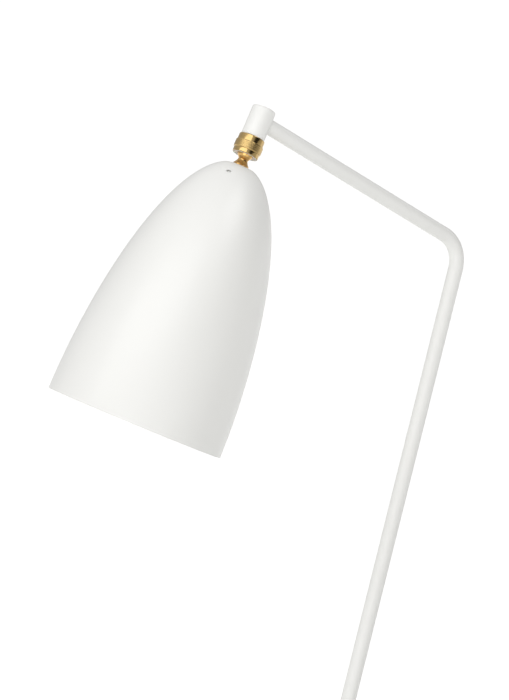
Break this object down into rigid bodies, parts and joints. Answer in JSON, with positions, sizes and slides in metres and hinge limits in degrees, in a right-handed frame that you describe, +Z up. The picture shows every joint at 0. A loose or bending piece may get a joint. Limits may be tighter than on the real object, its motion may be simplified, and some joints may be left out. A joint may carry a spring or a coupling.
{
  "type": "adjustable arm floor lamp",
  "caption": "Floor lamp with a bent tubular arm on three legs and a bullet-shaped shade that swivels on a brass ball held by a knurled nut.",
  "frame": {"origin": "on the floor, at the middle of the front foot's underside", "axes": "+Z up; the arm, the post and the front foot lie in the X-Z plane, the rear legs point to +X and the shade hangs over -X; +Y completes the frame"},
  "size_m": [0.5071, 0.405, 1.2445],
  "materials": {
    "stand_paint": "warm white satin powder coat on steel",
    "shade_paint": "warm white satin enamel on spun aluminium",
    "brass": "polished, with a finely knurled band on the nut",
    "white_nylon": "smooth turned nylon",
    "black_rubber": "matt moulded rubber",
    "zinc_steel": "bright zinc plate",
    "white_cable": "smooth PVC sheath",
    "holder_white": "moulded thermoset plastic",
    "holder_core": "unglazed porcelain",
    "bulb_metal": "rolled and threaded sheet",
    "black_glass": "gloss insulator",
    "opal_glass": "white opal"
  },
  "bodies": {
    "stand": {"main_tube": "stand_paint", "leg_yoke": "stand_paint", "rear_leg_left": "stand_paint", "rear_leg_right": "stand_paint", "yoke_screws": "zinc_steel", "front_foot": "black_rubber", "rear_foot_left": "black_rubber", "rear_foot_right": "black_rubber", "cable_gland": "black_rubber", "stand_lead": "white_cable", "head_fitting": "stand_paint", "disc_springs": "zinc_steel"},
    "seat": {"seat_ring": "white_nylon"},
    "nut": {"clamp_nut": "brass"},
    "cup": {"friction_cup": "white_nylon"},
    "sleeve": {"cable_sleeve": "white_nylon"},
    "shade": {"ball_stud": "brass", "shade_lead": "white_cable", "shade": "shade_paint", "shade_washer": "zinc_steel", "lock_nut": "brass", "holder_cap": "holder_white", "holder_skirt": "holder_white", "holder_core": "holder_core", "terminal_screws": "brass", "thread_shell": "brass", "centre_contact": "brass", "bulb_contact": "bulb_metal", "bulb_insulator": "black_glass", "bulb_cap": "bulb_metal", "bulb_glass": "opal_glass"}
  },
  "joints": [
    {"name": "nut_travel", "type": "slide", "parent": "stand", "child": "seat", "axis": [-0.4695, 0, -0.8829], "range_m": [0, 0.000501]},
    {"name": "nut_turn", "type": "hinge", "parent": "seat", "child": "nut", "pos_m": [0.08305, 0, 1.199], "axis": [-0.4695, 0, -0.8829], "range_deg": [0, 180]},
    {"name": "swivel_turn", "type": "hinge", "parent": "stand", "child": "cup", "pos_m": [0.08305, 0, 1.199], "axis": [0.4695, 0, 0.8829], "range_deg": [-90, 90]},
    {"name": "swivel_swing", "type": "hinge", "parent": "cup", "child": "sleeve", "pos_m": [0.08305, 0, 1.199], "axis": [0.7024, -0.606, -0.3735], "range_deg": [-29.8, 14.2]},
    {"name": "shade_turn", "type": "hinge", "parent": "sleeve", "child": "shade", "pos_m": [0.08305, 0, 1.199], "axis": [0.3925, -0.108, 0.9134], "range_deg": [-90, 90]}
  ],
  "couplings": [
    {"joint": "nut_travel", "follows": "nut_turn", "m_per_rad": 0.00015915}
  ]
}
